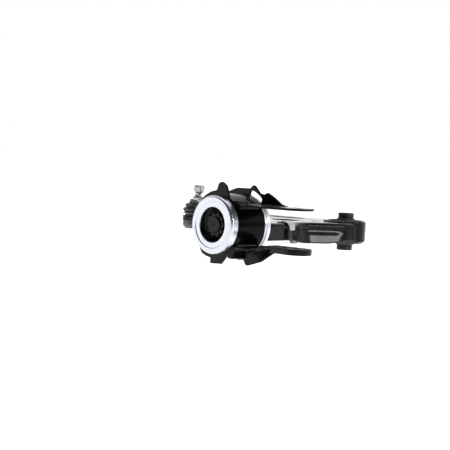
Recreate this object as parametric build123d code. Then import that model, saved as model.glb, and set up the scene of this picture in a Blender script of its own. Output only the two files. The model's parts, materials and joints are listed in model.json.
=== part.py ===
"""Front lower suspension control arm, left hand.

A stamped arm swings on two rubber bushings. The rear bushing lies along the
vehicle and sits in a welded bracket. The front bushing stands upright in an eye.
A ball joint at the outer end carries the wheel side.

The origin is the middle of the front bushing's bore. +X is forward on the
vehicle, +Y is outboard and +Z is up. All lengths are in millimetres.
"""
from build123d import *
from math import radians, sin, tan
import os

# ---- driving dimensions ----
REAR_AXIS_Z = 10.0  # the rear bushing's axis runs along X at Y = 0
REAR_FACE_X = -262.0  # rearmost face of the rear bushing
REAR_LENGTH = 71.0
RING_R = 36.5  # outside of the rear bushing's end rings
TUBE_R = 36.0
TUBE_WALL = 2.5
RING_HOLE_R = 22.0
PIN_R = 10.0
PIN_SLEEVE_R = 15.0

EYE_R = 28.5  # front eye, outside
EYE_BORE_R = 24.0
EYE_HALF = 16.0
CAN_WALL = 1.6
SLEEVE_R = 10.8
SLEEVE_BORE_R = 6.1  # clears an M12 bolt
SLEEVE_HALF = 26.0

SHEET = 3.3  # arm stamping
SKIN_Z = 13.0  # top of the arm
FLANGE_Z = -15.0  # lowest edge of the arm's side walls
RAIL_HALF = 22.5  # half width of the arm beside the pin
ARM_REAR_X = -176.0

BALL_X, BALL_Y, BALL_Z = -25.0, 285.0, -3.0
BALL_R = 11.5
SEAT_R = 13.0
STUD_TILT = 10.0  # the stud leans inboard
HUB_R = 18.3  # arm's collar round the ball joint
HOUSING_R = 15.0

PLATE = 3.0  # bracket stampings
PLATE_REAR_X = -251.4  # bracket stampings reach from here
PLATE_FRONT_X = -203.6  # to here
UPPER_WING_Z = 34.3  # underside of the upper wing
LOWER_WING_Z = -14.5  # underside of the lower wing
BOLT_HOLE_R = 6.5
INNER_HOLE = (-216.0, -100.0)
OUTER_HOLE = (-207.0, 54.0)

GAP = 0.05  # between pieces that touch in the real joint
FIT = 0.1  # running fit

REAR_FRONT_X = REAR_FACE_X + REAR_LENGTH
TUBE_X = (REAR_FACE_X + 10.5, REAR_FRONT_X - 12.5)
NECK_X = -188.0  # the pin's neck starts here
SADDLE_IN = TUBE_R + FIT
SADDLE_OUT = SADDLE_IN + PLATE + 0.2
BIG = 400.0
TINY = 1e-4

REAR = Pos(0, 0, REAR_AXIS_Z) * Rot(0, 90, 0)  # local Z runs along the rear bushing
FRONT = Location()
JOINT = Pos(BALL_X, BALL_Y, 0)
STUD = Pos(BALL_X, BALL_Y, BALL_Z) * Rot(STUD_TILT, 0, 0)
CLIP = Pos(-140.1, -21.8, 0) * Rot(0, 0, 10)  # local X runs along the arm's wall
CLIP_RIVET = CLIP * Pos(1.75, 12, 0)
HOOK = Pos(-128.9, -18.3, 0) * Rot(0, 0, 24.9)
FLANGED_HOLE = Pos(-74, 48, 0)
BEAD = Pos(-14, 130, SKIN_Z) * Rot(0, 0, 94) * Rot(180, 0, 0)  # local Z points down


# ---- helpers ----
def outline(corners, rounding=0.0):
    """Flat face from its corners, each rounded by its own or one common radius.

    A radius too large for its corner shrinks until its arc fits.
    """
    points = [Vector(*corner) for corner in corners]
    count = len(points)
    radii = [rounding] * count if isinstance(rounding, (int, float)) else rounding
    starts, ends, middles = [], [], []
    for index, point in enumerate(points):
        back = points[index - 1] - point
        ahead = points[(index + 1) % count] - point
        half = radians(back.get_angle(ahead)) / 2
        reach = min(radii[index] / tan(half), 0.49 * min(back.length, ahead.length))
        starts.append(point + back.normalized() * reach)
        ends.append(point + ahead.normalized() * reach)
        radius = reach * tan(half)
        bisector = (back.normalized() + ahead.normalized()).normalized()
        middles.append(point + bisector * (radius / sin(half) - radius))
    edges = []
    for index in range(count):
        if (ends[index] - starts[index]).length > TINY:
            edges.append(ThreePointArc(starts[index], middles[index], ends[index]))
        edges.append(Line(ends[index], starts[(index + 1) % count]))
    return make_face(edges)


def turned(corners, place, rounding=0.0):
    """Solid of revolution about place's Z axis, from (radius, height) corners."""
    return place * revolve(Plane.XZ * outline(corners, rounding), Axis.Z)


def tube(outer, inner, low, high, place):
    """Plain tube along place's Z axis."""
    return turned([(inner, low), (outer, low), (outer, high), (inner, high)], place)


def bar(radius, low, high, place):
    """Plain cylinder along place's Z axis."""
    return place * Pos(0, 0, low) * extrude(Circle(radius), high - low)


def block(x, y, z):
    """Box from three (low, high) pairs."""
    size = [high - low for low, high in (x, y, z)]
    middle = [(high + low) / 2 for low, high in (x, y, z)]
    return Pos(*middle) * Box(*size)


def across(face, low, high):
    """Extrude a (Y, Z) face along X from low to high."""
    return Pos(low, 0, 0) * extrude(Plane.YZ * face, high - low)


def upright(face, low, high):
    """Extrude an (X, Y) face along Z from low to high."""
    return Pos(0, 0, low) * extrude(face, high - low)


def largest(shape):
    """The biggest solid of a shape, without slivers left by cutting."""
    return shape.solids().sort_by(SortBy.VOLUME)[-1]


def edges_between(solid, first, second):
    """Edges where a face that passes first meets a face that passes second."""
    ones = ShapeList(e for f in solid.faces() if first(f) for e in f.edges())
    others = ShapeList(e for f in solid.faces() if second(f) for e in f.edges())
    return ShapeList(e for e in ones if e in others)


# ---- rear bushing ----
def rear_tube():
    return tube(TUBE_R, TUBE_R - TUBE_WALL, TUBE_X[0], TUBE_X[1], REAR)


def rear_end_ring():
    """Cup with a broad flat face, a shallow step in it and a skirt inside the tube."""
    face, seat, skirt = REAR_FACE_X, TUBE_X[0] - GAP, TUBE_R - TUBE_WALL - GAP
    corners = [
        (RING_HOLE_R, face + 0.8), (28.8, face + 0.8), (29.6, face), (RING_R, face),
        (RING_R, seat), (skirt, seat), (skirt, seat + 5.5), (skirt - 2, seat + 5.5),
        (skirt - 2, face + 3.2), (RING_HOLE_R + 2, face + 3.2), (RING_HOLE_R + 2, face + 6),
        (RING_HOLE_R, face + 6),
    ]
    rounding = [1.0, 0.3, 0.3, 3.0, 0.5, 0.0, 0.3, 0.3, 1.5, 0.8, 0.5, 0.5]
    return turned(corners, REAR, rounding)


def front_end_ring():
    """Cup with two ridges round its side and a rounded shoulder."""
    face, seat, skirt = REAR_FRONT_X, TUBE_X[1] + GAP, TUBE_R - TUBE_WALL - GAP
    corners = [
        (RING_HOLE_R, face - 2.4), (skirt - 2, face - 2.4), (skirt - 2, seat - 5.5),
        (skirt, seat - 5.5), (skirt, seat), (RING_R, seat), (RING_R, seat + 2.2),
        (RING_R - 1.4, seat + 2.8), (RING_R - 1.4, seat + 3.8), (RING_R, seat + 4.4),
        (RING_R, seat + 6.6), (RING_R - 1.0, seat + 7.4), (RING_R - 1.0, face),
        (RING_HOLE_R, face),
    ]
    rounding = [0.5, 1.5, 0.3, 0.3, 0.0, 0.6, 0.4, 0.3, 0.3, 0.6, 0.6, 0.4, 3.5, 1.0]
    return turned(corners, REAR, rounding)


def rear_rubber():
    """Rubber spring with two kidney pockets and a seat for the channel ring."""
    inner, skirt = PIN_SLEEVE_R + GAP, TUBE_R - TUBE_WALL - 2.2
    corners = [
        (inner, -240), (19.5, -240.5), (24, -250), (skirt, -252), (skirt, -239.9),
        (28.4, -239.9), (28.4, -216.1), (skirt, -216.1), (skirt, -203), (24, -205),
        (19.5, -209), (inner, -210),
    ]
    rubber = turned(corners, REAR)
    for side in (0, 180):
        arc = CenterArc((0, 0), 23.5, side - 32, 64)
        pocket = Pos(0, 0, -260) * extrude(SlotArc(arc, 4.5), 34)
        rubber -= REAR * pocket
    return rubber


def channel_ring():
    """Hard ring round the rubber, with two fluid channels in its outside."""
    outer, low, high = TUBE_R - TUBE_WALL - GAP, -239.8, -216.2
    corners = [(28.5, low), (outer, low)]
    for start in (-236.0, -225.5):
        corners += [(outer, start), (outer - 2.2, start)]
        corners += [(outer - 2.2, start + 5.5), (outer, start + 5.5)]
    corners += [(outer, high), (28.5, high)]
    return turned(corners, REAR)


def rear_inner_sleeve():
    return tube(PIN_SLEEVE_R, PIN_R + GAP, -243, NECK_X - GAP, REAR)


def pin_washer():
    return tube(18.5, PIN_R + GAP, -246, -243.05, REAR)


def pin_nut():
    """Round nut with notches round its rim for a hook spanner."""
    nut = turned(
        [(PIN_R + GAP, -256), (15.2, -256), (15.2, -246.05), (PIN_R + GAP, -246.05)],
        REAR, [0.8, 1.0, 0.4, 0.0],
    )
    notches = 10
    for index in range(notches):
        turn = Rot(0, 0, 360 * index / notches)
        nut -= REAR * turn * Pos(14.6, 0, -251) * Box(3.6, 3.2, 12)
    return nut


def arm_pin():
    """Forging: round pin with a centre drilling, a neck block and a flat tongue."""
    pin = turned([(0, -258), (PIN_R, -258), (PIN_R, NECK_X + 2), (0, NECK_X + 2)], REAR, [0, 1.2, 0, 0])
    drilling = turned([(0, -259), (1.9, -259), (0.6, -255), (0, -255)], REAR)
    neck = outline([(-15, -9), (15, -9), (15, 22), (-15, 22)], [4, 4, 13, 13])
    neck = across(neck, NECK_X, ARM_REAR_X - GAP)
    tongue = outline([(-178, -19), (-147, -19), (-120, -5), (-120, 19), (-178, 19)], [0, 10, 8, 8, 0])
    tongue = upright(tongue, -9.7, SKIN_Z - SHEET - GAP)
    tongue = chamfer(tongue.edges().group_by(Axis.Z)[-1], 1.8)
    return pin - drilling + neck + tongue - bar(3.3, 0, 20, CLIP_RIVET)


# ---- rear bracket ----
def tube_space():
    """The tube and its end rings, with a little room."""
    space = bar(SADDLE_IN, -270, -180, REAR)
    space += bar(RING_R + FIT, -270, TUBE_X[0], REAR)
    return space + bar(RING_R + FIT, TUBE_X[1], -180, REAR)


def bolt_holes():
    holes = [Pos(*place, 0) * Cylinder(BOLT_HOLE_R, 200) for place in (INNER_HOLE, OUTER_HOLE)]
    return holes[0] + holes[1]


def outer_ear_plan():
    corners = [(-250, 15), (-250, 28), (-223, 70), (-191, 70), (-191, 40), (-200, 25), (-200, 15)]
    return outline(corners, [0, 12, 15.9, 15.9, 8, 8, 0])


def bracket_upper():
    """Saddle over the tube with up-turned rims, a long inboard wing and a short ear."""
    low, high = UPPER_WING_Z, UPPER_WING_Z + PLATE
    saddle = tube(SADDLE_OUT, SADDLE_IN, PLATE_REAR_X, PLATE_FRONT_X, REAR)
    saddle &= block((-BIG, BIG), (-BIG, BIG), (low, BIG))
    wing_corners = [(-250, -15), (-250, -45), (-236, -120), (-196, -120), (-200, -70), (-200, -15)]
    wing = upright(outline(wing_corners, [0, 20, 19, 19, 30, 0]), low, high)
    ear = upright(outer_ear_plan(), low, high)
    rear_rim = outline(
        [(35, low), (31, 41.5), (24, 46.5), (14, 51.2), (4.8, 53), (1.5, 62.5), (-4.5, 64),
         (-11.5, 60), (-16, 50.5), (-18, 44.5), (-29, low)],
        [1, 6, 12, 12, 3, 5, 5, 7, 6, 4, 0],
    )
    front_rim = outline(
        [(46, low), (44, 39), (30, 51), (14, 56.5), (-10, 56.8), (-13.5, 60.8), (-17.5, 60.8),
         (-27, 51.5), (-34, 50), (-40, 53), (-52, 47.5), (-64, 40), (-76, high), (-76, low)],
        [1, 6, 14, 20, 3, 1.5, 2, 5, 5, 3, 14, 14, 4, 0],
    )
    window = SlotArc(CenterArc((0, REAR_AXIS_Z), 42.4, 109, 20), 8.0)
    body = saddle + wing + ear
    body += across(rear_rim, PLATE_REAR_X, PLATE_REAR_X + PLATE)
    body += across(front_rim - window, PLATE_FRONT_X - PLATE, PLATE_FRONT_X)
    lip = outline([(-20, low), (-47, low), (-47, 41.5), (-20, 41.8)], [0, 0, 1.2, 4])
    body += across(lip, -250, -250 + PLATE)
    return largest(body - tube_space() - bolt_holes())


def bracket_lower():
    """Cradle under the tube with down-turned rims, an inboard wing and a short ear."""
    low, high = LOWER_WING_Z, LOWER_WING_Z + PLATE
    hem = -16.0
    saddle = tube(SADDLE_OUT, SADDLE_IN, PLATE_REAR_X, PLATE_FRONT_X, REAR)
    saddle &= block((-BIG, BIG), (-BIG, BIG), (-BIG, hem))
    bent = [(-20, hem - 1), (-32, hem - 1), (-56, high), (-130, high), (-130, low), (-55, low),
            (-31, hem - 1 - PLATE), (-20, hem - 1 - PLATE)]
    sheet = across(outline(bent, [0, 12, 12, 0, 0, 9, 9, 0]), -260, -190)
    wing_corners = [(-250, -15), (-250, -29), (-227, -33), (-236, -120), (-196, -120), (-200, -60),
                    (-200, -15)]
    wing_plan = outline(wing_corners, [0, 3, 14, 19, 19, 30, 0])
    wing = sheet & upright(wing_plan, -60, 20)
    lip_plan = wing_plan - offset(wing_plan, amount=-PLATE, kind=Kind.ARC)
    lip = upright(lip_plan, low - 4.5, low + 0.5) & block((-BIG, BIG), (-BIG, -72), (-BIG, BIG))
    ear = upright(outer_ear_plan(), low, high)
    rear_rim = outline(
        [(34, hem), (29.5, -23.5), (26.5, -27.8), (19, -30.8), (10.6, -32.2), (10.3, -39.4),
         (-9, -38.5), (-13.5, -33.5), (-19, -27), (-29, hem), (-20, hem + 6), (30, hem + 6)],
        [1, 5, 4, 6, 1, 1.5, 3, 5, 5, 1, 0, 0],
    )
    front_rim = outline(
        [(46, low), (42, -24), (26, -38), (6, -42.5), (-12, -41.5), (-34, -35), (-52, -24),
         (-66, -17), (-80, low), (-80, high), (-55, high), (-32, hem - 1), (46, hem + 6)],
        [1, 10, 10, 14, 10, 16, 16, 10, 0, 0, 10, 8, 0],
    )
    wall = across(outline([(-21, hem), (-25, hem), (-29, -30.5), (-20, -30.5)]), -251, -230)
    rib = across(outline([(-22, hem), (-31, hem), (-32, -31), (-18, -33)]), -231.5, -228.5)
    body = saddle + wing + lip + ear + wall + rib
    body += across(rear_rim, PLATE_REAR_X, PLATE_REAR_X + PLATE)
    body += across(front_rim, PLATE_FRONT_X - PLATE, PLATE_FRONT_X)
    body -= tube_space()
    return largest(body - bolt_holes())


def bracket_welds(upper, lower):
    """Beads where the stampings meet the tube."""
    beads = []
    for y, z in ((-28.5, 33.2), (27.8, 33.2), (-27.5, -14.5), (31.5, -8.5)):
        bead = Pos(0, y, z) * Rot(0, 90, 0) * Pos(0, 0, -246) * extrude(Circle(2.3), 38)
        beads.append(largest(bead - bar(SADDLE_IN + 0.02, -270, -180, REAR) - upper - lower))
    return Compound(children=beads)


# ---- front bushing ----
def front_eye():
    corners = [
        (EYE_BORE_R, -EYE_HALF), (EYE_R - 4.2, -EYE_HALF), (EYE_R, 3.2 - EYE_HALF),
        (EYE_R, EYE_HALF - 2), (EYE_R - 3, EYE_HALF), (EYE_BORE_R, EYE_HALF),
    ]
    return turned(corners, FRONT, [0, 0.2, 1.5, 1.5, 0.5, 0.5])


def front_can():
    outer = EYE_BORE_R - GAP
    return tube(outer, outer - CAN_WALL, -14.5, 14.5, FRONT)


def front_rubber():
    """Rubber ring, hollowed at both ends, standing higher at the sleeve."""
    inner, outer = SLEEVE_R + GAP, EYE_BORE_R - CAN_WALL - 2 * GAP
    corners = [(inner, -18), (inner + 2.5, -18), (16.5, -11), (outer, -13.5),
               (outer, 13.5), (16.5, 11), (inner + 2.5, 18), (inner, 18)]
    return turned(corners, FRONT, [0, 1, 3, 0, 0, 3, 1, 0])


def front_sleeve():
    corners = [(SLEEVE_BORE_R, -SLEEVE_HALF), (SLEEVE_R, -SLEEVE_HALF),
               (SLEEVE_R, SLEEVE_HALF), (SLEEVE_BORE_R, SLEEVE_HALF)]
    return turned(corners, FRONT, [0.6, 0.9, 0.9, 0.6])


# ---- arm ----
def arm_plan():
    """Outline seen from above, from the pin to the eye and out to the ball joint."""
    corners = [
        (ARM_REAR_X, -RAIL_HALF), (-138, -RAIL_HALF), (-96, -3), (-42, -29), (-13, -31), (-13, -12),
        (10, 6), (31, 60), (36, 125), (-7, 285), (-43, 285), (-54, 205), (-82, 110),
        (-140, RAIL_HALF), (ARM_REAR_X, RAIL_HALF),
    ]
    rounding = [3, 45, 90, 60, 3, 0, 0, 80, 150, 0, 0, 200, 200, 50, 3]
    plan = outline(corners, rounding) + Pos(BALL_X, BALL_Y) * Circle(HUB_R)
    neck = plan.vertices().filter_by(
        lambda v: abs(v.Y - BALL_Y) < HUB_R + 1 and abs(v.X - BALL_X) < HUB_R + 1 and v.Y < BALL_Y + 1
    )
    return fillet(neck, 12)


def arm_block(plan, drop, rounding):
    """Solid below the arm's top surface, which drop lowers for the inside."""
    top, end = SKIN_Z - drop, 3.2 - drop
    side = outline(
        [(-80, top), (178, top), (246, end), (330, end), (330, -5), (268, -5), (214, FLANGE_Z),
         (-80, FLANGE_Z)],
        [0, 90, 90, 0, 0, 30, 40, 0],
    )
    body = upright(plan, -60, 60) & across(side, -BIG, BIG)
    rim = edges_between(body, lambda f: f.normal_at().Z > 0.8, lambda f: abs(f.normal_at().Z) < 0.1)
    return fillet(rim, rounding)


def arm_stamping():
    """Open-bottomed pressed shell with a sunk bead, a flanged hole and locating holes."""
    plan = arm_plan()
    hollow_plan = offset(plan, amount=-SHEET, kind=Kind.ARC)
    hollow = arm_block(hollow_plan, SHEET, 3.2)
    hollow += upright(hollow_plan, -60, -4) & block((-BIG, BIG), (250, BIG), (-60, BIG))
    shell = arm_block(plan, 0.0, 6.5) - hollow
    shell += bar(HUB_R, -5, 3.2, JOINT)
    shell += BEAD * Pos(0, 0, 1) * extrude(SlotOverall(122, 28), SHEET + 1.5, taper=20)
    shell -= BEAD * extrude(SlotOverall(118, 24), 2.5, taper=35)
    shell += bar(22, SKIN_Z - 9, SKIN_Z - 1, FLANGED_HOLE)
    shell -= bar(19, -30, 30, FLANGED_HOLE)
    for place in ((-112, 8), (-30, 232), (-44, 20)):
        shell -= bar(5, -30, 30, Pos(*place, 0))
    belly = outline(
        [(-220, -30), (-220, -9.7), (-140, -9.7), (-118, -12.6), (-96, FLANGE_Z), (-62, FLANGE_Z),
         (-40, -11.5), (40, -10.5), (40, -30)],
        [0, 0, 30, 60, 60, 60, 60, 0, 0],
    )
    shell -= Pos(0, 60, 0) * extrude(Plane.XZ * belly, 120)
    shell -= block((-200, -145.5), (-40, -19), (-40, 6.5))
    shell -= block((-200, ARM_REAR_X + 6), (-19.1, 19.1), (-40, SKIN_Z - SHEET))
    shell -= bar(EYE_R + GAP, -60, 60, FRONT)
    shell -= bar(HOUSING_R + GAP, -60, 60, JOINT)
    shell -= bar(2.05, -30, 30, CLIP_RIVET)
    return largest(shell)


def closing_plate(plan):
    """Flat plate that boxes in the shell behind the front eye."""
    inside = offset(plan, amount=-SHEET - GAP, kind=Kind.ARC)
    plate = upright(inside, -11.8, -9.2) & block((-66, 60), (-60, 56), (-20, 20))
    plate -= bar(EYE_R + GAP, -60, 60, FRONT) + bar(24, -20, 0, FLANGED_HOLE)
    return largest(plate)


def arm_welds(stamping, pin, plan):
    """Beads round the eye and under the outboard side of the pin's tongue."""
    ring = Pos(0, 0, SKIN_Z + 0.4) * Torus(EYE_R + 1.0, 1.9)
    ring &= upright(plan, 5, 25)
    ring -= bar(EYE_R + GAP, -60, 60, FRONT)
    seam = Pos(0, 19.5, -10.3) * Rot(0, 90, 0) * Pos(0, 0, -166) * extrude(Circle(1.9), 26)
    return Compound(children=[largest(bead - stamping - pin) for bead in (ring, seam)])


def cable_clip():
    """Strap folded over the arm's edge."""
    top, side = SKIN_Z + GAP, -GAP
    corners = [(17, top), (side, top), (side, 4), (side - 1.3, 4), (side - 1.3, top + 1.3),
               (17, top + 1.3)]
    strap = across(outline(corners, [0, 4.8, 0.5, 0.5, 6, 0]), -6, 9.5)
    trim = Pos(-6, 0, 4) * Rot(0, -28, 0) * Box(8, 12, 30)
    return CLIP * (strap - trim) - bar(2.05, -30, 30, CLIP_RIVET)


def clip_hook():
    """Angle welded inside the arm's wall, with a notched foot under the wall."""
    inside, foot = SHEET + 3 * GAP, -12.4
    corners = [(inside, 3), (inside, foot), (-3.6, foot), (-3.6, foot - 1.2),
               (inside + 1.2, foot - 1.2), (inside + 1.2, 3)]
    hook = across(outline(corners, [0, 0.3, 0, 0, 1.5, 0]), -2, 8)
    return HOOK * (hook - block((1.2, 3.2), (-8, 0), (-20, 0)))


def clip_rivet():
    corners = [(0, 8.2), (3, 8.2), (3, 9.65), (2, 9.65), (2, 14.4), (3.6, 14.4), (3.6, 15.6), (0, 16)]
    return turned(corners, CLIP_RIVET, [0, 0.5, 0, 0, 0, 0, 0.8, 0])


# ---- ball joint ----
def ball_housing():
    """Turned cup pressed into the arm from below, with a groove for the boot."""
    corners = [
        (0, -17.4), (13.8, -17.4), (17.2, -13.4), (17.2, -12), (18, -11.4), (18, -9),
        (17, -8.6), (17, -7.4), (18, -7), (18, -5.05), (HOUSING_R, -5.05),
        (HOUSING_R, 4.2), (13.9, 4.8), (13.9, 7.2), (14.6, 7.6), (14.6, 8.9), (0, 8.9),
    ]
    rounding = [0, 1, 0.4, 0.3, 0.4, 0.3, 0.3, 0.3, 0.4, 0.4, 0, 0.5, 0, 0, 0.3, 0.5, 0]
    cup = turned(corners, JOINT, rounding)
    cup -= JOINT * Pos(0, 0, BALL_Z) * Sphere(SEAT_R + GAP)
    cup -= bar(SEAT_R + GAP, -16.35, BALL_Z, JOINT)
    cup -= bar(11.4, -20, -16, JOINT)
    return cup - turned([(0, 0), (11.6, 1.5), (13, 9), (0, 9)], JOINT)


def bearing_seat():
    """Plastic shell round the ball."""
    shell = JOINT * Pos(0, 0, BALL_Z) * (Sphere(SEAT_R) - Sphere(BALL_R + FIT))
    shell &= block((-BIG, BIG), (-BIG, BIG), (-13, 2))
    return shell


def housing_cover():
    """Disc held by the housing's rolled lower edge."""
    corners = [(0, -16.3), (SEAT_R, -16.3), (SEAT_R, -14.8), (0, -14.8)]
    return turned(corners, JOINT)


def ball_stud():
    """Ball, neck and shank, with a clamp groove under the head."""
    corners = [
        (0, 0), (6, 0), (6, 13), (7.6, 20), (7.6, 35.5), (5, 38.4), (5, 41.6), (8.35, 45),
        (8.35, 53.2), (7.4, 54.4), (0, 54.4),
    ]
    shank = turned(corners, STUD, [0, 0, 4, 4, 1.5, 3, 3, 1.2, 0.4, 0.8, 0])
    return shank + STUD * Sphere(BALL_R)


def dust_boot():
    """Rubber boot: a band on the housing, a bulge and a lip on the leaning stud."""
    band = tube(16.6, 14.65, 4.9, 9, JOINT)
    lip = tube(10.6, 7.65, 27.4, 30.6, STUD)
    top = STUD * Pos(0, 0, 27.5)
    sections = []
    for share, outer in ((0.0, 16.6), (0.36, 19.2), (0.7, 17.0), (1.0, 10.6)):
        lean = STUD_TILT * share
        middle = Vector(BALL_X, BALL_Y, 8.9) * (1 - share) + top.position * share
        sections.append((Location(middle) * Rot(lean, 0, 0), outer))
    bulge = loft([place * Circle(outer) for place, outer in sections])
    space = loft([place * Circle(outer - 1.95) for place, outer in sections])
    boot = band + (bulge - space) + lip
    return boot - bar(7.65, 0, 60, STUD)


def boot_clip_lower():
    return JOINT * Pos(0, 0, 6.6) * Torus(17.4, 0.75)


def boot_clip_upper():
    return STUD * Pos(0, 0, 29.2) * Torus(11.4, 0.75)


PARTS = {
    "rear_tube": rear_tube,
    "rear_end_ring": rear_end_ring,
    "front_end_ring": front_end_ring,
    "rear_rubber": rear_rubber,
    "channel_ring": channel_ring,
    "rear_inner_sleeve": rear_inner_sleeve,
    "pin_washer": pin_washer,
    "pin_nut": pin_nut,
    "arm_pin": arm_pin,
    "bracket_upper": bracket_upper,
    "bracket_lower": bracket_lower,
    "front_eye": front_eye,
    "front_can": front_can,
    "front_rubber": front_rubber,
    "front_sleeve": front_sleeve,
    "arm_stamping": arm_stamping,
    "cable_clip": cable_clip,
    "clip_rivet": clip_rivet,
    "clip_hook": clip_hook,
    "ball_housing": ball_housing,
    "bearing_seat": bearing_seat,
    "housing_cover": housing_cover,
    "ball_stud": ball_stud,
    "dust_boot": dust_boot,
    "boot_clip_lower": boot_clip_lower,
    "boot_clip_upper": boot_clip_upper,
}

os.makedirs("parts", exist_ok=True)
made = {name: make() for name, make in PARTS.items()}
made["bracket_welds"] = bracket_welds(made["bracket_upper"], made["bracket_lower"])
made["closing_plate"] = closing_plate(arm_plan())
made["arm_welds"] = arm_welds(made["arm_stamping"], made["arm_pin"], arm_plan())
for name, shape in made.items():
    export_step(shape, f"parts/{name}.step")
    print(name, round(shape.volume))
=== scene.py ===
"""Looks of a front lower suspension control arm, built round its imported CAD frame.

The camera looks along the rear bushing at the arm, from behind and inboard. The turned
pieces are the CAD solids with procedural finishes, and the stampings are softened copies
of theirs. The rubber pieces and the weld beads are modelled here, in the CAD's frame.
Outlines are in millimetres, scaled by MM. Camera, lights and finishes are in metres.
"""
import json
import math

import bmesh
import bpy
import numpy as np
from mathutils import Euler, Matrix, Vector, noise


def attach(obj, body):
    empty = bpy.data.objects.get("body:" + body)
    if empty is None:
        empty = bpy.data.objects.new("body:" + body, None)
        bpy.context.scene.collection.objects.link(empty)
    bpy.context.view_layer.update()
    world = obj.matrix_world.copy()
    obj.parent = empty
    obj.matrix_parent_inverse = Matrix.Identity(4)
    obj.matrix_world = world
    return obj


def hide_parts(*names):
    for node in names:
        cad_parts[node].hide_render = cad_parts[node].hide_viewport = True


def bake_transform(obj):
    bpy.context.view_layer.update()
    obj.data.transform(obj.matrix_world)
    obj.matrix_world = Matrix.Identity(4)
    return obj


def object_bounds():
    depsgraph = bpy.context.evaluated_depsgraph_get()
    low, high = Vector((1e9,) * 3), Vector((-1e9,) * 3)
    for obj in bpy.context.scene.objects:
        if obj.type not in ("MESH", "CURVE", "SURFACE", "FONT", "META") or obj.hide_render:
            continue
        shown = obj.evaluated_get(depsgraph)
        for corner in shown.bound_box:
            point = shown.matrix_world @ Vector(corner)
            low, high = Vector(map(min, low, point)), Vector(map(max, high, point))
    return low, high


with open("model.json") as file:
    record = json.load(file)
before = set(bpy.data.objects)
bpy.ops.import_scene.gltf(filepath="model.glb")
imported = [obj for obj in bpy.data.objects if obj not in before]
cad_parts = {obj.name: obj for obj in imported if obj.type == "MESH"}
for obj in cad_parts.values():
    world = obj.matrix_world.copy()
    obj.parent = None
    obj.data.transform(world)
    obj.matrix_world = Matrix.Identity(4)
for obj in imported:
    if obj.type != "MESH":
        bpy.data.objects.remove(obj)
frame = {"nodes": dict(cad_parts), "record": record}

cad_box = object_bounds()
MM = 0.001

# ---- axes of the part: (origin in mm, rotation about X, Y and Z in degrees) ----
AXES = {
    "rear": ((0, 0, 10), (0, 90, 0)),
    "front": ((0, 0, 0), (0, 0, 0)),
    "joint": ((-25, 285, 0), (0, 0, 0)),
    "stud": ((-25, 285, -3), (10, 0, 0)),
}


def axis_matrix(name):
    """Matrix that puts local Z, in metres, along one of the part's axes."""
    origin, turn = AXES[name]
    angles = Euler([math.radians(a) for a in turn])
    return Matrix.Translation(Vector(origin) * MM) @ angles.to_matrix().to_4x4()


# ---- camera ----
CAMERA_AT = Vector((-1.1950, -0.9655, 0.0841))
CAMERA_RIGHT = Vector((0.7114, -0.7009, 0.0508))
CAMERA_UP = Vector((0.0024, 0.0747, 0.9972))
CAMERA_BACK = Vector((-0.7027, -0.7093, 0.0548))
SENSOR_WIDTH, FOCAL_LENGTH = 36.0, 86.88
NEAREST, FARTHEST = 0.05, 50.0

camera_data = bpy.data.cameras.new("camera")
camera_data.sensor_width = SENSOR_WIDTH
camera_data.lens = FOCAL_LENGTH
camera_data.clip_start = NEAREST
camera_data.clip_end = FARTHEST
camera = bpy.data.objects.new("camera", camera_data)
bpy.context.scene.collection.objects.link(camera)
camera.matrix_world = Matrix((CAMERA_RIGHT, CAMERA_UP, CAMERA_BACK)).transposed().to_4x4()
camera.matrix_world.translation = CAMERA_AT
bpy.context.scene.camera = camera


# ---- procedural finishes ----
class Graph:
    """A node tree, with a short call for adding a node to it."""

    def __init__(self, tree):
        self.tree = tree
        self.tree.nodes.clear()

    def node(self, kind, inputs=None, **settings):
        """New node. An input is a socket to link from, or a constant."""
        made = self.tree.nodes.new(kind)
        for key, value in settings.items():
            setattr(made, key, value)
        for key, value in (inputs or {}).items():
            if isinstance(value, bpy.types.NodeSocket):
                self.tree.links.new(value, made.inputs[key])
            else:
                made.inputs[key].default_value = value
        return made


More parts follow.
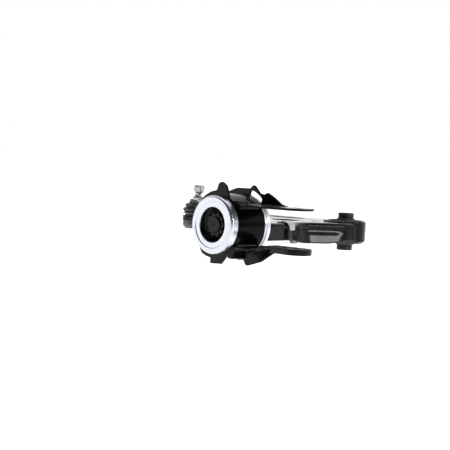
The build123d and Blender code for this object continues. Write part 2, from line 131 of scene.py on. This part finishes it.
class Finish(Graph):
    """A material's node tree, with short calls for the nodes that the finishes use."""

    def __init__(self, name):
        self.material = bpy.data.materials.new(name)
        self.material.use_nodes = True
        super().__init__(self.material.node_tree)
        self.place = self.node("ShaderNodeTexCoord").outputs["Object"]

    def calc(self, operation, first, second):
        inputs = {0: first, 1: second}
        return self.node("ShaderNodeMath", inputs, operation=operation).outputs[0]

    def noise(self, scale, detail=3.0, rough=0.5, place=None):
        inputs = {
            "Vector": place or self.place,
            "Scale": scale,
            "Detail": detail,
            "Roughness": rough,
        }
        return self.node("ShaderNodeTexNoise", inputs).outputs["Fac"]

    def range(self, value, low, high, start=0.3, stop=0.7):
        inputs = {
            "Value": value,
            "From Min": start,
            "From Max": stop,
            "To Min": low,
            "To Max": high,
        }
        return self.node("ShaderNodeMapRange", inputs).outputs["Result"]

    def blend(self, factor, first, second):
        mix = self.node("ShaderNodeMix", data_type="RGBA")
        self.tree.links.new(factor, mix.inputs["Factor"])
        mix.inputs["A"].default_value = (*first, 1)
        mix.inputs["B"].default_value = (*second, 1)
        return mix.outputs["Result"]

    def turned_place(self, axis, fine, around):
        """Noise place whose grain runs round an axis, as a lathe leaves it."""
        origin, turn = AXES[axis]
        inputs = {
            "Vector": self.place,
            "Location": [v * MM for v in origin],
            "Rotation": [math.radians(v) for v in turn],
        }
        mapping = self.node("ShaderNodeMapping", inputs, vector_type="TEXTURE")
        local = mapping.outputs["Vector"]
        flat = self.node("ShaderNodeVectorMath", {0: local, 1: (1, 1, 0)}, operation="MULTIPLY")
        radius = self.node("ShaderNodeVectorMath", {0: flat.outputs[0]}, operation="LENGTH")
        parts = self.node("ShaderNodeSeparateXYZ", {0: local})
        angle = self.calc("ARCTAN2", parts.outputs["Y"], parts.outputs["X"])
        inputs = {
            "X": self.calc("MULTIPLY", radius.outputs["Value"], fine),
            "Y": self.calc("MULTIPLY", parts.outputs["Z"], fine),
            "Z": self.calc("MULTIPLY", angle, around),
        }
        return self.node("ShaderNodeCombineXYZ", inputs).outputs["Vector"]

    def bump(self, height, distance, strength, normal=None):
        inputs = {"Height": height, "Distance": distance, "Strength": strength}
        if normal is not None:
            inputs["Normal"] = normal
        return self.node("ShaderNodeBump", inputs).outputs["Normal"]

    def edge(self, radius):
        """Normal that rounds sharp edges a little."""
        return self.node("ShaderNodeBevel", {"Radius": radius}, samples=4).outputs["Normal"]

    def surface(self, colour, roughness, normal, **constants):
        inputs = {"Base Color": colour, "Roughness": roughness, "Normal": normal}
        inputs.update({key.replace("_", " "): value for key, value in constants.items()})
        shader = self.node("ShaderNodeBsdfPrincipled", inputs)
        self.node("ShaderNodeOutputMaterial", {"Surface": shader.outputs[0]})
        return self.material


# slot: (darkest colour, lightest colour, (least roughness, most roughness))
TURNED = {
    "zinc_ring": ((0.49, 0.51, 0.55), (0.60, 0.62, 0.67), (0.24, 0.34)),
    "dark_steel": ((0.014, 0.0135, 0.013), (0.036, 0.035, 0.033), (0.36, 0.54)),
    "housing_steel": ((0.060, 0.060, 0.062), (0.150, 0.150, 0.155), (0.28, 0.42)),
    "bright_steel": ((0.20, 0.20, 0.20), (0.44, 0.44, 0.44), (0.12, 0.26)),
    "clip_wire": ((0.16, 0.16, 0.16), (0.34, 0.34, 0.35), (0.25, 0.4)),
}
# slot: the same, and the scale of the grain
MOULDED = {
    "bushing_rubber": ((0.010, 0.010, 0.010), (0.026, 0.025, 0.024), (0.55, 0.78), 1800),
    "boot_rubber": ((0.009, 0.009, 0.009), (0.022, 0.021, 0.020), (0.34, 0.50), 1500),
    "black_plastic": ((0.016, 0.016, 0.016), (0.034, 0.034, 0.034), (0.32, 0.46), 2400),
    "white_plastic": ((0.70, 0.69, 0.64), (0.84, 0.83, 0.79), (0.34, 0.46), 2400),
}
TOOL_MARKS = 900  # scale of the noise across the marks that a lathe leaves


def turned_metal(slot, axis):
    """Machined or plated metal with circular tool marks and faint mottling."""
    dark, light, rough = TURNED[slot]
    f = Finish(slot)
    marks = f.noise(1.0, 3, 0.6, f.turned_place(axis, TOOL_MARKS, 1.2))
    mottle = f.noise(70, 4)
    shade = f.calc("ADD", f.calc("MULTIPLY", marks, 0.6), f.calc("MULTIPLY", mottle, 0.4))
    colour = f.blend(f.range(shade, 0, 1, 0.35, 0.65), dark, light)
    roughness = f.range(mottle, *rough)
    normal = f.bump(marks, 0.00003, 0.6, f.edge(0.0004))
    return f.surface(colour, roughness, normal, Metallic=1.0)


def moulded(slot, axis):
    """Moulded rubber or plastic: fine grain, faint flow marks."""
    dark, light, rough, grain = MOULDED[slot]
    f = Finish(slot)
    colour = f.blend(f.range(f.noise(90, 5, 0.6), 0, 1), dark, light)
    roughness = f.range(f.noise(260, 4), *rough)
    flow = f.bump(f.noise(120), 0.0003, 0.3)
    skin = f.bump(f.noise(grain, 3, 0.6), 0.00008, 0.5, flow)
    return f.surface(colour, roughness, skin)


def black_coat(slot, axis):
    """Semi-gloss black dip coat over pressed sheet, with a fine orange peel."""
    f = Finish(slot)
    shade = f.range(f.noise(55, 4), 0, 1)
    colour = f.blend(shade, (0.0015, 0.0015, 0.0016), (0.0050, 0.0049, 0.0050))
    roughness = f.range(f.noise(24, 5, 0.6), 0.22, 0.38)
    wavy = f.bump(f.noise(75, 2), 0.0005, 0.35, f.edge(0.0007))
    peel = f.bump(f.noise(1300, 2), 0.00005, 0.5, wavy)
    return f.surface(
        colour, roughness, peel,
        Specular_IOR_Level=0.04, Coat_Weight=1.0, Coat_Roughness=0.13, Coat_IOR=1.17,
    )


def black_gloss_paint(slot, axis):
    """Smooth black paint on the turned tube."""
    f = Finish(slot)
    shade = f.range(f.noise(40), 0, 1)
    colour = f.blend(shade, (0.0008, 0.0008, 0.0009), (0.0020, 0.0020, 0.0022))
    roughness = f.range(f.noise(60, 4), 0.12, 0.22)
    marks = f.noise(1.0, 2, 0.5, f.turned_place(axis, TOOL_MARKS, 1.5))
    peel = f.bump(f.noise(700, 1), 0.00003, 0.35, f.bump(marks, 0.00002, 0.4))
    return f.surface(colour, roughness, peel, Specular_IOR_Level=0.04)


def strap_steel(slot, axis):
    """Plated strip with rolling marks along it."""
    f = Finish(slot)
    inputs = {0: f.place, 1: (60, 1800, 1800)}
    along = f.node("ShaderNodeVectorMath", inputs, operation="MULTIPLY").outputs[0]
    grain = f.noise(1.0, 3, 0.6, along)
    colour = f.blend(f.range(grain, 0, 1), (0.30, 0.31, 0.32), (0.52, 0.53, 0.54))
    roughness = f.range(f.noise(200, 4), 0.20, 0.36)
    normal = f.bump(grain, 0.00003, 0.5, f.edge(0.0003))
    return f.surface(colour, roughness, normal, Metallic=1.0)


FINISHES = {
    "black_coat": black_coat,
    "black_gloss_paint": black_gloss_paint,
    "strap_steel": strap_steel,
    **dict.fromkeys(TURNED, turned_metal),
    **dict.fromkeys(MOULDED, moulded),
}
AXIS_OF = {
    "front_can": "front", "front_rubber": "front", "front_sleeve": "front",
    "front_eye": "front", "ball_housing": "joint", "bearing_seat": "joint",
    "housing_cover": "joint", "boot_clip_lower": "joint", "boot_clip_upper": "stud",
    "ball_stud": "stud",
}
SLOT_OF = {part["node"]: part["material_slot"] for part in frame["record"]["subparts"]}
made_finishes = {}


def finish_for(node):
    """The finish of a CAD node's slot, about the axis that the node is turned on."""
    slot, axis = SLOT_OF[node], AXIS_OF.get(node, "rear")
    if (slot, axis) not in made_finishes:
        made_finishes[slot, axis] = FINISHES[slot](slot, axis)
    return made_finishes[slot, axis]


for name, piece in frame["nodes"].items():
    piece.data.materials.clear()
    piece.data.materials.append(finish_for(name))


# ---- meshes ----
def smoothstep(value, low, high):
    """Smooth rise from 0 at low to 1 at high, of a number or an array."""
    t = np.clip((value - low) / (high - low), 0.0, 1.0)
    return t * t * (3 - 2 * t)


def rounded(corners):
    """Closed outline with its corners cut twice, so that they are round."""
    points = np.array(corners, float)
    for _ in range(2):
        ahead = np.roll(points, -1, axis=0)
        points = np.stack([0.75 * points + 0.25 * ahead, 0.25 * points + 0.75 * ahead], 1)
        points = points.reshape(-1, 2)
    return points


def grid_faces(rows, columns, wrap):
    """Quads of a grid that closes on itself along its columns, and along its rows if wrap."""
    faces = []
    for i in range(rows if wrap else rows - 1):
        a, b = i * columns, (i + 1) % rows * columns
        for j in range(columns):
            k = (j + 1) % columns
            faces.append((a + j, a + k, b + k, b + j))
    return faces


def lathe(corners, place, turns, shape=None):
    """Closed (radius, height) outline in mm, turned about place's Z.

    shape(radius, height, angle) gives the radius and height to use instead.
    """
    section = rounded(corners)
    points = []
    for i in range(turns):
        angle = 2 * math.pi * i / turns
        for radius, height in section:
            if shape:
                radius, height = shape(radius, height, angle)
            local = Vector((radius * math.cos(angle), radius * math.sin(angle), height)) * MM
            points.append(place @ local)
    return points, grid_faces(turns, len(section), True)


def stand_for(piece, node):
    """Show a piece instead of a CAD node, in the node's finish."""
    mesh = piece.data
    mesh.polygons.foreach_set("use_smooth", [True] * len(mesh.polygons))
    mesh.update()
    mesh.materials.clear()
    mesh.materials.append(finish_for(node))
    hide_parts(node)


def add_piece(name, points, faces, node):
    """Mesh piece that stands for a CAD node."""
    mesh = bpy.data.meshes.new(name)
    mesh.from_pydata([tuple(p) for p in points], [], faces)
    mesh.validate()
    piece = bpy.data.objects.new(name, mesh)
    bpy.context.scene.collection.objects.link(piece)
    stand_for(piece, node)
    return piece


# ---- stampings ----
WELD_DISTANCE = 1e-6  # metres, between corners that are one corner
ARM_VOXEL, BRACKET_VOXEL = 0.0009, 0.0006  # metres

# the arm's inboard wall: its line seen from above, and where along it and how far from
# it the shaping fades in and out
WALL_X = (-176, -146, -129, -116, -96, -76, -58, -42, -13)
WALL_Y = (-22.5, -22.5, -18.3, -12.3, -6.5, -10.5, -19.0, -26.5, -31.0)
WALL_START, WALL_STOP, WALL_REACH = (-128, -104), (-52, -28), (6.0, 14.0)
WALL_DEPTH = 14.5  # from the arm's middle plane to the wall's lower edge
FLARE, FLARE_POWER = 3.4, 1.15  # how far the lower edge goes out, and how late it turns
DRAWN_IN, DRAWN_MIDDLE, DRAWN_HALF_HEIGHT = 1.8, 4.0, 5.0
DRAWN_SLIP = 0.15  # forward movement of the sheet for each mm that it goes out

# the lower bracket's front edge: where the tuck fades in, and the share of drop it keeps
TUCK_X, TUCK_Y, TUCK_Z, TUCK_KEPT = (-212, -207), (-9, -3), -33.0, 0.25


def pressed(name, node, voxel, passes, body, shape=None):
    """Pressed-sheet version of a CAD node: the same form with drawn edges and bends.

    shape takes and gives an array of points in mm.
    """
    mesh = frame["nodes"][node].data.copy()
    shell = bmesh.new()
    shell.from_mesh(mesh)
    bmesh.ops.remove_doubles(shell, verts=shell.verts, dist=WELD_DISTANCE)
    shell.to_mesh(mesh)
    shell.free()
    piece = bpy.data.objects.new(name, mesh)
    bpy.context.scene.collection.objects.link(piece)
    remesh = piece.modifiers.new("remesh", "REMESH")
    remesh.mode = "VOXEL"
    remesh.voxel_size = voxel
    smooth = piece.modifiers.new("smooth", "SMOOTH")
    smooth.factor = 0.5
    smooth.iterations = passes
    bpy.context.view_layer.update()
    graph = bpy.context.evaluated_depsgraph_get()
    final = bpy.data.meshes.new_from_object(piece.evaluated_get(graph))
    piece.modifiers.clear()
    piece.data = final
    bpy.data.meshes.remove(mesh)
    final.name = name
    if shape:
        points = np.empty(len(final.vertices) * 3)
        final.vertices.foreach_get("co", points)
        points = points.reshape(-1, 3) / MM
        final.vertices.foreach_set("co", (shape(points) * MM).ravel())
    stand_for(piece, node)
    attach(piece, body)


def drawn_arm(points):
    """Inboard wall of the arm drawn in at mid height and flared at its lower edge."""
    x, y, z = points.T
    near = 1 - smoothstep(y - np.interp(x, WALL_X, WALL_Y), *WALL_REACH)
    along = smoothstep(x, *WALL_START) * (1 - smoothstep(x, *WALL_STOP))
    flare = FLARE * np.clip(-z / WALL_DEPTH, 0, 1) ** FLARE_POWER
    drawn = DRAWN_IN * np.exp(-((z - DRAWN_MIDDLE) / DRAWN_HALF_HEIGHT) ** 2)
    out = near * along * (flare - drawn)
    return np.stack([x + DRAWN_SLIP * out, y - out, z], 1)


def drawn_lower(points):
    """Lower bracket's front edge tucked up under the fold, at its outboard side."""
    x, y, z = points.T
    near = smoothstep(x, *TUCK_X) * smoothstep(y, *TUCK_Y)
    tucked = TUCK_Z + (z - TUCK_Z) * TUCK_KEPT
    return np.stack([x, y, np.where(z < TUCK_Z, z + (tucked - z) * near, z)], 1)


pressed("arm_shell_pressed", "arm_stamping", ARM_VOXEL, 3, "arm", drawn_arm)
pressed("bracket_upper_pressed", "bracket_upper", BRACKET_VOXEL, 2, "bracket")
pressed("bracket_lower_pressed", "bracket_lower", BRACKET_VOXEL, 2, "bracket", drawn_lower)


# the rear rubber has a kidney pocket at each side of each end
REAR_MIDDLE = -228
KIDNEY_HALF_ANGLE, KIDNEY_END = 34.0, 5.0
KIDNEY_MIDDLE, KIDNEY_HALF_WIDTH, KIDNEY_SIDE = 24.5, 4.2, 1.2
KIDNEY_DEPTH = 11.0


def kidneys(radius, height, angle):
    side = abs((math.degrees(angle) + 90) % 180 - 90)
    reach = abs(radius - KIDNEY_MIDDLE)
    across = 1 - smoothstep(reach, KIDNEY_HALF_WIDTH - KIDNEY_SIDE, KIDNEY_HALF_WIDTH)
    around = 1 - smoothstep(side, KIDNEY_HALF_ANGLE - KIDNEY_END, KIDNEY_HALF_ANGLE)
    depth = KIDNEY_DEPTH * across * around
    return radius, height + (depth if height < REAR_MIDDLE else -depth)


# lip at the rear end, seat for the channel ring round the middle
REAR_RUBBER = [
    (15.1, -240), (16.5, -241.5), (18, -240.8), (19.5, -241), (20.3, -243.5), (21.2, -247),
    (22.4, -250), (24, -250.8), (25, -250.9), (26, -250.9), (27, -250.8), (28, -250.8),
    (29.5, -251), (31.2, -251), (31.2, -240.2), (28.6, -240.2), (28.6, -216), (31.2, -216),
    (31.2, -203.6), (29.5, -203.8), (28, -204), (27, -204), (26, -204), (25, -204.2),
    (24, -204.6), (21.5, -207), (19.5, -209.4), (17, -210), (15.1, -210.4),
]
rear_mesh = lathe(REAR_RUBBER, axis_matrix("rear"), 180, kidneys)
rear_rubber = add_piece("rear_rubber_moulding", *rear_mesh, "rear_rubber")
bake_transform(rear_rubber)

# hollowed ends with a thin lip round the sleeve
FRONT_RUBBER = [
    (10.9, -18.3), (12.4, -18.3), (13.3, -16.6), (14.6, -13.2), (16.6, -11.6), (18.6, -11.9),
    (20.4, -13.2), (21.3, -14.0), (22.2, -13.8), (22.2, 13.8), (21.3, 14.0), (20.4, 13.2),
    (18.6, 11.9), (16.6, 11.6), (14.6, 13.2), (13.3, 16.6), (12.4, 18.3), (10.9, 18.3),
]
front_mesh = lathe(FRONT_RUBBER, axis_matrix("front"), 120)
front_rubber = add_piece("front_rubber_moulding", *front_mesh, "front_rubber")
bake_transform(front_rubber)

# ---- dust boot: (radius, share of the way from the housing to the stud) ----
BOOT_OUTSIDE = [
    (16.0, -0.21), (16.6, -0.18), (16.6, -0.10), (15.9, -0.06), (15.9, -0.02), (17.0, 0.03),
    (18.4, 0.10), (19.2, 0.20), (19.0, 0.30), (17.4, 0.37), (15.6, 0.42), (15.2, 0.47),
    (16.2, 0.53), (17.2, 0.60), (16.8, 0.68), (14.8, 0.75), (12.6, 0.80), (11.8, 0.85),
    (12.2, 0.91), (11.9, 0.98), (10.9, 1.03), (10.4, 1.07), (10.6, 1.11), (11.2, 1.15),
    (11.1, 1.19), (10.2, 1.20),
]
BOOT_INSIDE = [
    (8.6, 1.19), (7.75, 1.16), (7.7, 1.02), (9.4, 0.96), (9.9, 0.86), (11.0, 0.76),
    (14.2, 0.68), (15.2, 0.61), (14.2, 0.54), (13.3, 0.47), (13.9, 0.39), (16.4, 0.31),
    (17.2, 0.21), (16.2, 0.10), (14.75, 0.03), (14.68, -0.16),
]
BOOT_BASE_Z = 8.9
BOOT_TOP_ALONG = 27.5  # up the stud's axis from its ball
BOOT_TURNS = 144
BOOT_SAG = 0.012  # share of the radius by which the folds are out of round


def boot_mesh():
    """The boot's outline carried up from the upright housing to the leaning stud."""
    base = Vector((*AXES["joint"][0][:2], BOOT_BASE_Z)) * MM
    top = axis_matrix("stud") @ Vector((0, 0, BOOT_TOP_ALONG * MM))
    height = (top - base).length / MM
    section = rounded(BOOT_OUTSIDE + BOOT_INSIDE)
    points = []
    for i in range(BOOT_TURNS):
        angle = 2 * math.pi * i / BOOT_TURNS
        for radius, share in section:
            lean = math.radians(AXES["stud"][1][0]) * smoothstep(share, 0.0, 1.0)
            turn = Matrix.Rotation(lean, 4, "X")
            within = min(1, max(0, share))
            middle = base.lerp(top, within)
            middle += turn @ Vector((0, 0, (share - within) * height)) * MM
            sag = 1 + BOOT_SAG * math.sin(2 * angle + 5 * share) * math.sin(math.pi * within)
            spoke = Vector((math.cos(angle), math.sin(angle), 0)) * radius * sag * MM
            points.append(middle + turn @ spoke)
    return points, grid_faces(BOOT_TURNS, len(section), True)


dust_boot = add_piece("dust_boot_moulding", *boot_mesh(), "dust_boot")
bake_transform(dust_boot)

# ---- weld beads ----
BEAD_SIDES = 14
RIPPLE, RIPPLE_DEPTH = 2.6, 0.16  # distance between ripples, share of the radius they cut
LUMPS, ROUGHNESS = 0.10, 0.06  # shares of the radius, along and all over the bead
BEAD_END, BEAD_SWELL = 0.05, 0.8  # how thin a bead starts, and how soon it is full
BRACKET_BEAD, ARM_BEAD = 2.5, 2.0  # radius
BRACKET_SEAM_X = (-245.5, -208.5)
BRACKET_SEAMS = ((-28.2, 33.0), (27.6, 33.0), (-27.3, -14.4), (31.3, -8.4))  # (y, z)
EYE_SEAM_RADIUS, EYE_SEAM_Z, EYE_SEAM_ANGLES = 29.6, 13.2, (36, 214)
TONGUE_SEAM_X, TONGUE_SEAM_Y, TONGUE_SEAM_Z = (-165.5, -140.5), 19.5, -10.3


def length_of(path):
    return sum((b - a).length for a, b in zip(path, path[1:]))


def bead(path, radius, seed):
    """Rippled bead along a path of points in mm, as a welding robot lays it."""
    path = [Vector(p) for p in path]
    shift = Vector((seed, 0, 0))
    last = len(path) - 1
    points = []
    for i, middle in enumerate(path):
        ahead = path[min(i + 1, last)] - path[max(i - 1, 0)]
        side = ahead.cross(Vector((0, 0, 1))).normalized()
        rise = side.cross(ahead).normalized()
        travelled = length_of(path[: i + 1])
        ends = (travelled, length_of(path[i:]))
        taper = math.sqrt(math.prod(min(1.0, BEAD_END + BEAD_SWELL * e / radius) for e in ends))
        crest = abs(math.sin(math.pi * travelled / RIPPLE)) ** 0.6
        scale = 1 - RIPPLE_DEPTH * (1 - crest) + LUMPS * noise.noise(middle * 0.35 + shift)
        for k in range(BEAD_SIDES):
            angle = 2 * math.pi * k / BEAD_SIDES
            rough = 1 + ROUGHNESS * noise.noise(middle * 0.9 + shift + Vector((0, 3.0 * k, 0)))
            spoke = side * math.cos(angle) + rise * math.sin(angle)
            points.append((middle + spoke * radius * scale * taper * rough) * MM)
    faces = grid_faces(last + 1, BEAD_SIDES, False)
    faces.append(tuple(range(BEAD_SIDES))[::-1])
    faces.append(tuple(last * BEAD_SIDES + k for k in range(BEAD_SIDES)))
    return points, faces


def straight(x, y, z, step=0.35):
    """Points along X at one height, from x[0] to x[1]."""
    count = int((x[1] - x[0]) / step)
    return [(x[0] + (x[1] - x[0]) * i / count, y, z) for i in range(count + 1)]


def arc(radius, z, angles, step=0.7):
    """Points round the front eye, between two angles in degrees."""
    start, stop = angles
    count = int(abs(stop - start) / step)
    turns = [math.radians(start + (stop - start) * i / count) for i in range(count + 1)]
    return [(radius * math.cos(a), radius * math.sin(a), z) for a in turns]


def joined(meshes):
    points, faces = [], []
    for more_points, more_faces in meshes:
        shift = len(points)
        points += more_points
        faces += [tuple(index + shift for index in face) for face in more_faces]
    return points, faces


bracket_seams = [
    bead(straight(BRACKET_SEAM_X, y, z), BRACKET_BEAD, 11.0 * k)
    for k, (y, z) in enumerate(BRACKET_SEAMS)
]
bracket_weld = add_piece("bracket_weld_beads", *joined(bracket_seams), "bracket_welds")
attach(bracket_weld, "bracket")

arm_seams = [
    bead(arc(EYE_SEAM_RADIUS, EYE_SEAM_Z, EYE_SEAM_ANGLES), ARM_BEAD, 51.0),
    bead(straight(TONGUE_SEAM_X, TONGUE_SEAM_Y, TONGUE_SEAM_Z), ARM_BEAD, 63.0),
]
arm_weld = add_piece("arm_weld_beads", *joined(arm_seams), "arm_welds")
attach(arm_weld, "arm")

# ---- floor and light ----
FLOOR_GAP = 0.09  # clears the ball joint when the arm swings down
FLOOR_HALF = 14.0
FLOOR_GLOW = 0.85
AWAY = (0.70, 0.71, 0.0)  # level, from the camera to the part
SKY_TURN = (-0.2, 0.5)  # share of AWAY in a direction, where the sky is dimmest and brightest
SKY_STRENGTH = (0.05, 1.0)
# name: (direction from the part, distance, (width, height), power)
LIGHTS = {
    "left_box": ((-0.70, 0.71, 0.12), 1.2, (0.8, 0.8), 1.7),
    "right_box": ((0.50, -0.85, 0.30), 1.2, (1.5, 0.42), 2.0),
    "strip_box": ((0.20, -0.94, 0.28), 1.2, (0.62, 0.16), 9.0),
    "top_box": ((0.05, 0.05, 1.0), 1.1, (0.9, 0.9), 3.0),
}

floor_z = cad_box[0].z - FLOOR_GAP
floor_corners = [
    (x * FLOOR_HALF, y * FLOOR_HALF, floor_z) for x, y in ((-1, -1), (1, -1), (1, 1), (-1, 1))
]
floor_mesh = bpy.data.meshes.new("floor")
floor_mesh.from_pydata(floor_corners, [], [(0, 1, 2, 3)])
floor = bpy.data.objects.new("floor", floor_mesh)
bpy.context.scene.collection.objects.link(floor)
paper = Finish("floor_paper")
paper_colour = paper.blend(
    paper.range(paper.noise(3), 0, 1), (0.90, 0.90, 0.90), (0.93, 0.93, 0.93)
)
floor_mesh.materials.append(
    paper.surface(
        paper_colour, 0.9, paper.bump(paper.noise(30, 2), 0.0002, 0.1),
        Emission_Color=(1, 1, 1, 1), Emission_Strength=FLOOR_GLOW,
    )
)

scene = bpy.context.scene
scene.view_settings.view_transform = "Standard"
scene.world = bpy.data.worlds.new("studio")
scene.world.use_nodes = True

# white behind the part, dim behind the camera; the camera itself sees white all round
sky = Graph(scene.world.node_tree)
looking = sky.node("ShaderNodeTexCoord").outputs["Generated"]
towards = sky.node("ShaderNodeVectorMath", {0: looking, 1: AWAY}, operation="DOT_PRODUCT")
lit = sky.node(
    "ShaderNodeMapRange",
    {
        "Value": towards.outputs["Value"],
        "From Min": SKY_TURN[0],
        "From Max": SKY_TURN[1],
        "To Min": SKY_STRENGTH[0],
        "To Max": SKY_STRENGTH[1],
    },
).outputs["Result"]
seen = sky.node("ShaderNodeLightPath").outputs["Is Camera Ray"]
strength = sky.node("ShaderNodeMix", {"Factor": seen, "A": lit, "B": 1.0}).outputs["Result"]
background = sky.node("ShaderNodeBackground", {"Color": (1, 1, 1, 1), "Strength": strength})
sky.node("ShaderNodeOutputWorld", {"Surface": background.outputs[0]})

centre = (cad_box[0] + cad_box[1]) / 2
for name, (direction, distance, size, power) in LIGHTS.items():
    light_data = bpy.data.lights.new(name, "AREA")
    light_data.shape = "RECTANGLE"
    light_data.size, light_data.size_y = size
    light_data.energy = power
    light = bpy.data.objects.new(name, light_data)
    scene.collection.objects.link(light)
    outward = Vector(direction).normalized()
    light.location = centre + outward * distance
    light.rotation_mode = "QUATERNION"
    light.rotation_quaternion = outward.to_track_quat("Z", "Y")
